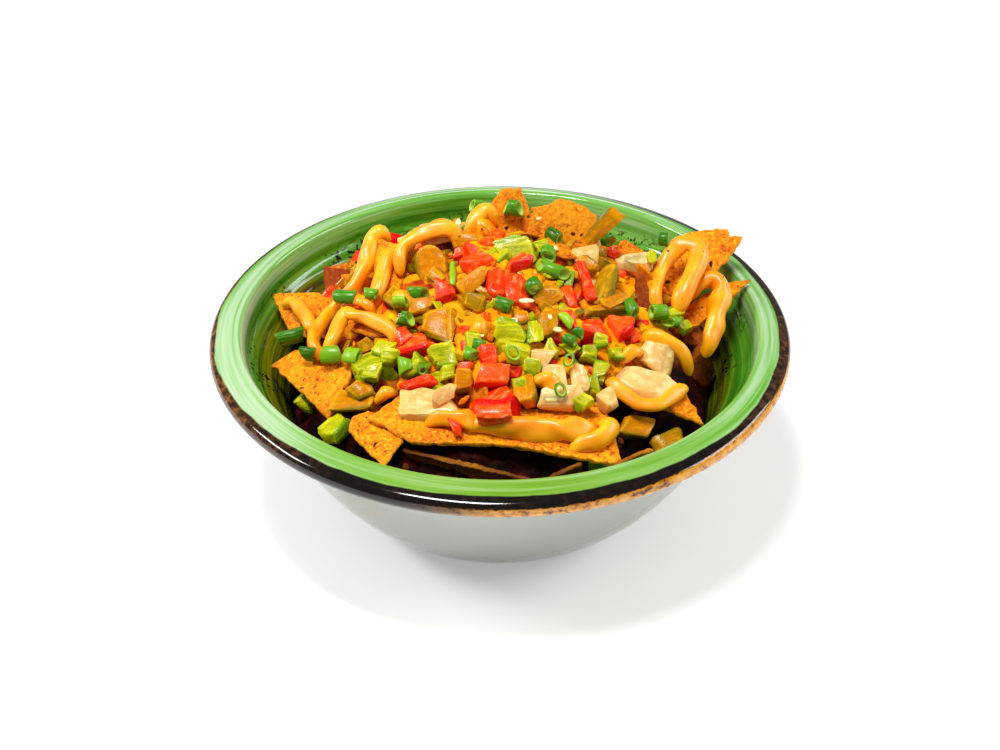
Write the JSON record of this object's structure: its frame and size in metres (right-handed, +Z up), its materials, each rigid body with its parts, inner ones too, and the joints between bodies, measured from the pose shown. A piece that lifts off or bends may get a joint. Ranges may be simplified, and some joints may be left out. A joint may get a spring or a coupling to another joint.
{
  "type": "bowl of loaded nachos",
  "caption": "Round glazed stoneware bowl with a rolled rim, heaped with tortilla chips, ropes of cheese sauce, chicken, tomato, pickle, pepper and spring onion.",
  "frame": {"origin": "centre of the foot ring on the table", "axes": "+Z up, -Y towards the front of the dish, +X to its right"},
  "size_m": [0.2, 0.2, 0.1006],
  "materials": {
    "bowl": "glossy mottled green glaze inside, dark brown rim, white outside",
    "heap": "broken tortilla chips, sauce and small diced vegetables",
    "chip": "dry, rough fried corn with red spice",
    "sauce": "smooth, satin cheese sauce",
    "chicken": "pale cooked meat, moist",
    "pickle": "wet, partly see-through",
    "tomato": "wet, partly see-through",
    "pepper": "wet, fresh yellow-green"
  },
  "bodies": {
    "root": {"bowl": "bowl", "chicken_01": "chicken", "chicken_02": "chicken", "chicken_03": "chicken", "chicken_04": "chicken", "chicken_05": "chicken", "chicken_06": "chicken", "chip_back_middle": "chip", "chip_back_right": "chip", "chip_back_tip": "chip", "chip_behind_left": "chip", "chip_behind_low": "chip", "chip_behind_middle": "chip", "chip_behind_right": "chip", "chip_front": "chip", "chip_front_left": "chip", "chip_left": "chip", "chip_left_back": "chip", "chip_left_front": "chip", "chip_left_middle": "chip", "chip_left_small": "chip", "chip_low_left": "chip", "chip_low_middle": "chip", "chip_low_right": "chip", "chip_right_front": "chip", "chip_right_under": "chip", "chip_right_wall": "chip", "chip_rim": "chip", "chip_rim_small": "chip", "chip_upright": "chip", "heap": "heap", "pepper_01": "pepper", "pepper_02": "pepper", "pepper_03": "pepper", "pickle_01": "pickle", "pickle_02": "pickle", "pickle_03": "pickle", "pickle_04": "pickle", "pickle_05": "pickle", "pickle_06": "pickle", "pickle_07": "pickle", "pickle_08": "pickle", "sauce_back": "sauce", "sauce_back_left": "sauce", "sauce_behind": "sauce", "sauce_front": "sauce", "sauce_left_chip": "sauce", "sauce_left_cross": "sauce", "sauce_left_long": "sauce", "sauce_left_short": "sauce", "sauce_right_band": "sauce", "sauce_right_hook": "sauce", "sauce_right_loop": "sauce", "sauce_right_low": "sauce", "tomato_01": "tomato", "tomato_02": "tomato", "tomato_03": "tomato", "tomato_04": "tomato", "tomato_05": "tomato", "tomato_06": "tomato"}
  },
  "joints": []
}
